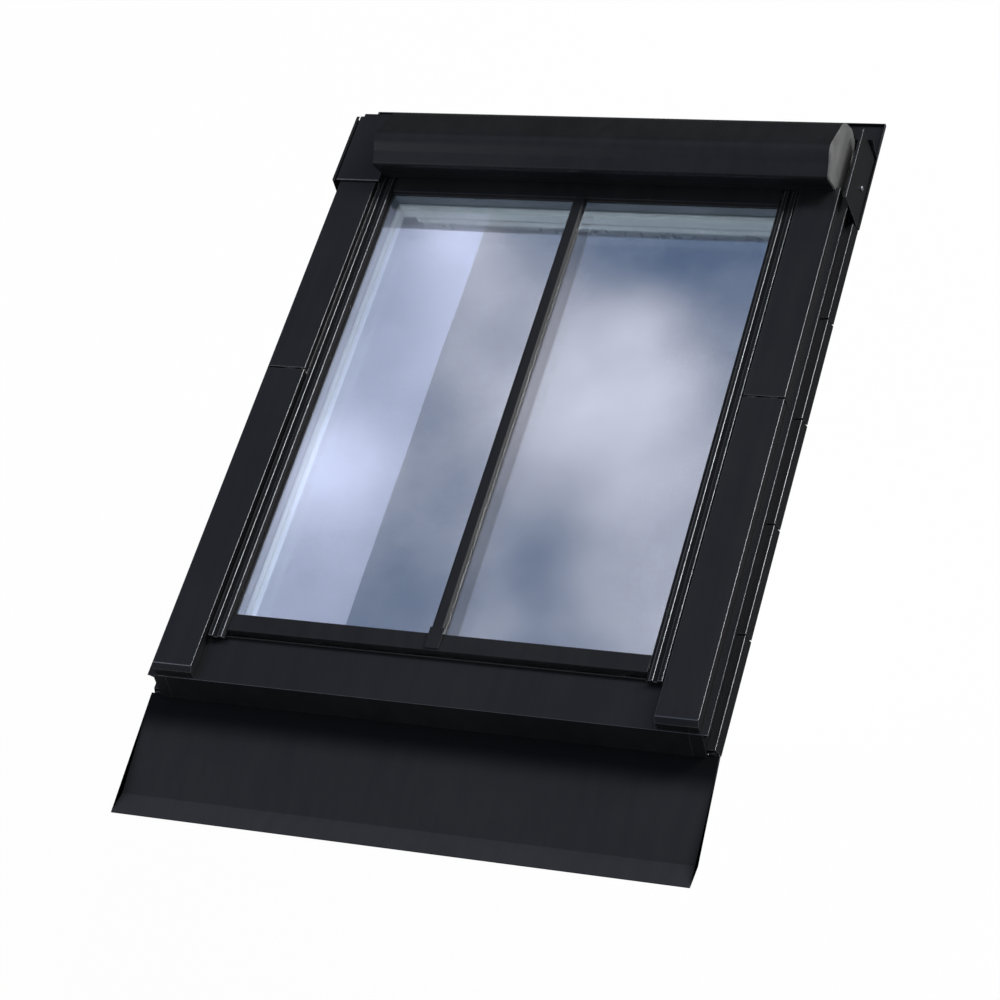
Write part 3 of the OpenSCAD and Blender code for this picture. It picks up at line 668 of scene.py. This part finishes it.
def make_gasket():
    left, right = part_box("left_bead")[1][0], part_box("right_bead")[0][0]
    low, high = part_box("bottom_bead")[1][1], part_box("top_bead")[0][1]
    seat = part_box("outer_pane")[1][2] + GASKET_CLEAR
    shape = bmesh.new()
    rings = []
    for k in range(GASKET_STEPS + 1):
        angle = math.pi * k / GASKET_STEPS
        inset = GASKET_MIDDLE - GASKET_HALF * math.cos(angle)
        level = seat + GASKET_RISE * math.sin(angle)
        rings.append([shape.verts.new((x, y, level)) for x, y in (
            (left + inset, low + inset), (right - inset, low + inset),
            (right - inset, high - inset), (left + inset, high - inset))])
    for first, second in zip(rings, rings[1:] + rings[:1]):
        for k in range(4):
            n = (k + 1) % 4
            shape.faces.new((first[k], first[n], second[n], second[k]))
    bmesh.ops.recalc_face_normals(shape, faces=shape.faces)
    piece = make_piece(shape, "pane_gasket", 50)
    piece.data.materials.append(black_rubber)
    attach(piece, "sash")
    return piece


print("gasket faces:", len(make_gasket().data.polygons))

# %% [markdown]
# Daylight must not show through the joint at the sill, so a soft lip on the sill reaches to the foot of
# the sash, just outside the circle that the foot swings on. A thin black tape lies on each stile between
# the bead and the side covers; it is painted shade, a dark strip that stands in for the shade deep in that
# narrow gap. Both are profiles drawn out straight.

# %% Lip seal and stile tapes of painted shade
LIP_ROOT, LIP_TIP, LIP_END = 0.0017, 0.0007, 0.003  # clear of sill, of the sash's foot and of the seal
LIP_OVER, LIP_SAG, LIP_T = 0.0015, 0.0022, 0.0012  # height over the foot, fall to the tip, thickness
TAPE_SIDE, TAPE_END = 0.0002, 0.001  # clear of bead and cover, and of the stile's ends
TAPE_UNDER, TAPE_EDGE, TAPE_CROWN = 0.0001, 0.0005, 0.0007  # heights over the stile


def draw_out(name, sections, body, finish):
    """Solids between two equal sections each. A section is a ring of points, the pair gives both ends."""
    shape = bmesh.new()
    for first, last in sections:
        ends = [[shape.verts.new(point) for point in ring] for ring in (first, last)]
        count = len(first)
        for k in range(count):
            n = (k + 1) % count
            shape.faces.new((ends[0][k], ends[0][n], ends[1][n], ends[1][k]))
        for ring in ends:
            for k in range(count // 2 - 1):
                shape.faces.new((ring[k], ring[k + 1], ring[count - 2 - k], ring[count - 1 - k]))
    bmesh.ops.recalc_face_normals(shape, faces=shape.faces)
    piece = make_piece(shape, name, 40)
    piece.data.materials.append(finish)
    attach(piece, body)
    return piece


def make_sill_lip():
    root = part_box("frame_sill")[1][1] + LIP_ROOT
    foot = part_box("bottom_rail")[0]
    tip, top = foot[1] - LIP_TIP, foot[2] + LIP_OVER
    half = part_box("frame_seal")[1][0] - LIP_END
    upper = [(root + (tip - root) * t, top - LIP_SAG * t * t) for t in (0.0, 0.25, 0.5, 0.75, 1.0)]
    ring = upper + [(y, z - LIP_T) for y, z in reversed(upper)]
    section = [[(x, y, z) for y, z in ring] for x in (-half, half)]
    return draw_out("sill_lip", [section], "frame", black_rubber)


# painted shade: the black tapes stand in for the shade deep in the gap between bead and cover
def make_stile_shade_tapes():
    low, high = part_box("left_stile")
    ends = (low[1] + TAPE_END, high[1] - TAPE_END)
    near = -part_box("left_bead")[0][0] + TAPE_SIDE
    far = -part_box("upper_left_cover")[1][0] - TAPE_SIDE
    middle = (near + far) / 2
    ring = [(near, TAPE_UNDER), (near, TAPE_EDGE), (middle, TAPE_CROWN),
            (far, TAPE_EDGE), (far, TAPE_UNDER), (middle, TAPE_UNDER)]
    sections = [[[(side * x, y, high[2] + z) for x, z in ring] for y in ends] for side in (-1, 1)]
    return draw_out("stile_shade_tapes", sections, "sash", black_rubber)


for piece in (make_sill_lip(), make_stile_shade_tapes()):
    print(piece.name, "faces:", len(piece.data.polygons))

# %% [markdown]
# Behind the hood a narrow strip of the timber head would stay bare, and beside its short left end one
# could look in under the corner plate. A fitter closes both with folded strips that lap over the head
# flashing, so that water runs off outside it. Each is one bent line, thickened and drawn out across.

# %% Closing strips behind the hood
STRIP_T, BEND_R, BEND_STEPS = 0.0008, 0.0016, 5
STRIP_BACK, STRIP_LAP = 0.0026, 0.013  # behind the timber head, and down from its top
HOOD_CLEAR, HEAD_CLEAR = 0.0002, 0.0009  # of the first strip, behind the hood and over the head
WING_DROP, CAP_CLEAR = 0.0021, 0.0004  # of the second strip, below the wing's top and beside the cap
PLATE_INSET, PLATE_TUCK = 0.005, 0.010  # of the second strip, from the plate's outer end and its back


def bent_line(low_y, top_z, back_y, low_z):
    """A line that runs back along Y, bends down with a radius and drops, as (place, outward) pairs."""
    line = [(Vector((low_y, top_z)), Vector((0.0, 1.0)))]
    for k in range(BEND_STEPS + 1):
        angle = math.pi / 2 * k / BEND_STEPS
        out = Vector((math.sin(angle), math.cos(angle)))
        line.append((Vector((back_y - BEND_R, top_z - BEND_R)) + out * BEND_R, out))
    return line + [(Vector((back_y, low_z)), Vector((1.0, 0.0)))]


def make_closing_strips():
    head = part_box("frame_head")[1]
    back, lap = head[1] + STRIP_BACK, head[2] - STRIP_LAP
    plate_low, plate_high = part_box("corner_plate")
    plate_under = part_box("left_wing")[1][2] - WING_DROP
    hood_left, hood_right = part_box("hood_left_cap")[0][0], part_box("hood_right_cap")[1][0]
    behind_hood = bent_line(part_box("hood")[1][1] + HOOD_CLEAR, head[2] + HEAD_CLEAR, back, lap)
    under_plate = bent_line(plate_high[1] - PLATE_TUCK, plate_under, back, lap)
    sections = []
    for start, end, line in ((hood_left, hood_right, behind_hood),
                             (plate_low[0] + PLATE_INSET, hood_left - CAP_CLEAR, under_plate)):
        ring = [at for at, out in line] + [at + out * STRIP_T for at, out in reversed(line)]
        sections.append([[(x, *point) for point in ring] for x in (start, end)])
    return draw_out("head_closer", sections, "frame", coated_sheet)


print("closing strips, faces:", len(make_closing_strips().data.polygons))

# %% [markdown]
# The stage is a plain pale floor under the window, low enough for the sash to swing through. The picture
# has a white ground, so the floor is white to the camera and still holds a faint shadow, while the window
# itself is lit by lamps and sky at a plain level. Metal sees a duller floor, as it would see a roof.

# %% Floor
FLOOR_Z, FLOOR_SIZE = -0.46, 60.0
GLOW_SHARE = 0.97  # of the floor's look to the camera; the rest takes the shadow
DULL_LIGHT = 0.10  # of the floor as metal and glass see it


def make_floor():
    bpy.ops.mesh.primitive_plane_add(size=FLOOR_SIZE, location=(0.0, 0.0, FLOOR_Z))
    floor = bpy.context.object
    floor.name = "floor"
    material = bpy.data.materials.new("pale_floor")
    material.use_nodes = True
    tree = material.node_tree
    shader = tree.nodes["Principled BSDF"]
    shader.inputs["Base Color"].default_value = (0.8, 0.8, 0.8, 1.0)
    shader.inputs["Roughness"].default_value = 0.9
    shader.inputs["Specular IOR Level"].default_value = 0.0
    path = add_node(tree, "ShaderNodeLightPath")
    glow = add_node(tree, "ShaderNodeEmission", Strength=1.0)
    dull = add_node(tree, "ShaderNodeEmission", Strength=DULL_LIGHT)
    to_camera = maths(tree, "MULTIPLY", path.outputs["Is Camera Ray"], GLOW_SHARE)
    pale = switch_shader(tree, to_camera, shader.outputs[0], glow.outputs[0])
    to_metal = maths(tree, "MAXIMUM", path.outputs["Is Glossy Ray"], path.outputs["Is Transmission Ray"])
    shown = switch_shader(tree, to_metal, pale, dull.outputs[0])
    tree.links.new(shown, tree.nodes["Material Output"].inputs["Surface"])
    floor.data.materials.append(material)
    return floor


floor = make_floor()
print("floor at", round(floor.location.z, 3))

# %% [markdown]
# What makes glass look like glass is what it mirrors. The world is a cloud layer, seen only by glossy
# rays: a ray's direction is carried to a flat layer overhead, whose scale is set so that one unit is one
# metre on the pane when it is seen from the photo's place. Soft puffs lay out the large clouds, a noise
# breaks up their edges, and a straight edge in the layer gives the paler strip in the left light.

# %% Cloud layer
CLOUD_PUFFS = [  # place across and up the pane, radius, brightness
    (0.12, 0.00, 0.28, 0.40), (-0.24, -0.15, 0.14, 0.20), (0.24, 0.33, 0.28, -0.10),
    (-0.15, 0.24, 0.14, 0.21), (0.36, -0.24, 0.28, 0.52), (-0.06, 0.12, 0.20, 0.20),
    (0.15, 0.15, 0.10, 0.14), (-0.24, -0.15, 0.28, 0.14), (0.36, -0.24, 0.20, -0.34),
    (0.06, -0.39, 0.10, 0.12), (0.00, -0.24, 0.14, 0.09), (-0.03, 0.09, 0.10, -0.13),
    (-0.18, 0.30, 0.10, 0.15), (0.21, 0.03, 0.10, 0.07),
]
SKY_STOPS = [  # brightness and the colour that goes with it
    (0.00, (0.040, 0.065, 0.125)), (0.11, (0.080, 0.115, 0.202)), (0.22, (0.180, 0.210, 0.295)),
    (0.36, (0.346, 0.357, 0.440)), (0.55, (0.550, 0.550, 0.650)), (0.75, (0.750, 0.740, 0.880)),
]
BASE_LIGHT, WISP_LIGHT, STRIP_LIGHT = 0.085, 0.22, 0.175  # everywhere, from the noise and in the strip
STRIP_LEFT, STRIP_RIGHT = -0.34, -0.136  # across the pane
STRIP_TINT = (0.93, 0.985, 1.10)
HORIZON, FULL_SKY = 0.1, 0.62  # height of a ray where the layer fades out, and where it is all there


def carry_ray(tree):
    """Carries a ray to the layer. Gives its place there, the place's two parts and the ray's height."""
    ray = add_node(tree, "ShaderNodeTexCoord")
    parts = add_node(tree, "ShaderNodeSeparateXYZ")
    tree.links.new(ray.outputs["Generated"], parts.inputs[0])
    height = maths(tree, "MAXIMUM", parts.outputs["Z"], HORIZON)
    camera_over_pane = camera_place.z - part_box("outer_pane")[1][2]
    layer = add_node(tree, "ShaderNodeCombineXYZ")
    places = []
    for axis, start in (("X", camera_place.x), ("Y", camera_place.y)):
        slope = maths(tree, "DIVIDE", parts.outputs[axis], height)
        places.append(maths(tree, "MULTIPLY_ADD", slope, camera_over_pane, start))
        tree.links.new(places[-1], layer.inputs[axis])
    return layer.outputs[0], *places, parts.outputs["Z"]


def colour_clouds(tree, layer, across):
    """The colour of the layer: noise, strip and puffs add up to a brightness that picks it."""
    wisps = add_node(tree, "ShaderNodeTexNoise", Scale=7.0, Detail=5.0, Roughness=0.55)
    tree.links.new(layer, wisps.inputs["Vector"])
    strip = maths(tree, "MULTIPLY", maths(tree, "LESS_THAN", across, STRIP_RIGHT),
                  maths(tree, "GREATER_THAN", across, STRIP_LEFT))
    light = maths(tree, "MULTIPLY_ADD", wisps.outputs["Fac"], WISP_LIGHT, BASE_LIGHT)
    light = maths(tree, "MULTIPLY_ADD", strip, STRIP_LIGHT, light)
    for x, y, radius, amount in CLOUD_PUFFS:
        away = add_node(tree, "ShaderNodeVectorMath", operation="DISTANCE")
        tree.links.new(layer, away.inputs[0])
        away.inputs[1].default_value = (x, y, 0.0)
        puff = smooth_between(tree, away.outputs["Value"], radius, 0.0)
        light = maths(tree, "MULTIPLY_ADD", puff, amount, light)
    ramp = add_node(tree, "ShaderNodeValToRGB")
    stops = ramp.color_ramp.elements
    while len(stops) < len(SKY_STOPS):
        stops.new(0.5)
    for stop, (place, colour) in zip(stops, SKY_STOPS):
        stop.position = place
        stop.color = colour + (1.0,)
    tree.links.new(light, ramp.inputs["Fac"])
    return blend(tree, "RGBA", strip, ramp.outputs["Color"], STRIP_TINT, "MULTIPLY")


# %% [markdown]
# Above one line up the pane a dark roof is mirrored and not the sky, so the layer is dimmed there. To the
# camera the world is white, and to everything that isn't a mirror it is an even soft light.

# %% Sky
SKY_GAIN = 1.70
ROOF_LINE, LINE_BLUR = 0.293, 0.003  # up the pane
ROOF_SHARE = 0.38  # of the sky's light that is left above the line


def make_sky():
    world = bpy.data.worlds.new("cloudy_studio")
    scene.world = world
    world.use_nodes = True
    tree = world.node_tree
    tree.nodes.clear()
    layer, across, along, ray_height = carry_ray(tree)
    open_sky = smooth_between(tree, along, ROOF_LINE + LINE_BLUR, ROOF_LINE - LINE_BLUR)
    open_sky = maths(tree, "MAXIMUM", open_sky, ROOF_SHARE)
    fade = maths(tree, "MULTIPLY", smooth_between(tree, ray_height, HORIZON, FULL_SKY), open_sky)
    clouds = add_node(tree, "ShaderNodeBackground")
    tree.links.new(colour_clouds(tree, layer, across), clouds.inputs["Color"])
    tree.links.new(maths(tree, "MULTIPLY", fade, SKY_GAIN), clouds.inputs["Strength"])
    even = add_node(tree, "ShaderNodeBackground", Color=(0.97, 0.985, 1.0, 1.0), Strength=0.5)
    white = add_node(tree, "ShaderNodeBackground", Color=(1.0, 1.0, 1.0, 1.0), Strength=1.0)
    path = add_node(tree, "ShaderNodeLightPath")
    mirrored = switch_shader(tree, path.outputs["Is Glossy Ray"], even.outputs[0], clouds.outputs[0])
    seen = switch_shader(tree, path.outputs["Is Camera Ray"], mirrored, white.outputs[0])
    tree.links.new(seen, add_node(tree, "ShaderNodeOutputWorld").inputs["Surface"])
    return world


sky = make_sky()
print("sky nodes:", len(sky.node_tree.nodes))

# %% [markdown]
# Two large soft lamps stand well away from the direction that the panes mirror. The key is high on the
# right and long, so it draws an unbroken thin line on each rounded fold. The fill is low on the left and
# keeps the hood's end and the sill's face readable. A third, small lamp stands in the room below the
# window, as daylight from another window would, and lets the white reveal show through the panes.

# %% Lamps
def add_lamp(name, place, along, size, power):
    """A soft lamp that looks at the origin. The first of its two sides lies along the given direction."""
    data = bpy.data.lights.new(name, "AREA")
    data.shape = "RECTANGLE"
    data.size, data.size_y = size
    data.energy = power
    lamp = bpy.data.objects.new(name, data)
    away = Vector(place).normalized()
    side = (Vector(along) - away * away.dot(Vector(along))).normalized()
    facing = Matrix((side, away.cross(side), away)).transposed().to_4x4()
    lamp.matrix_world = Matrix.Translation(Vector(place)) @ facing
    scene.collection.objects.link(lamp)
    return lamp


key = add_lamp("key_lamp", place=(4.8, 4.1, 4.8), along=(1.0, 0.0, -1.0), size=(6.0, 1.8), power=560.0)
fill = add_lamp("fill_lamp", place=(-2.8, -1.8, 2.2), along=(0.0, 1.0, 0.0), size=(2.0, 2.0), power=25.0)
room = add_lamp("room_lamp", place=(0.0, -0.34, -0.36), along=(1.0, 0.0, 0.0), size=(0.5, 0.2), power=8.0)
room.data.color = (0.80, 0.90, 1.0)
room.visible_transmission = False
room.visible_glossy = False
room.visible_camera = False
scene.view_settings.view_transform = "Standard"
print("lamps:", key.name, fill.name, room.name)
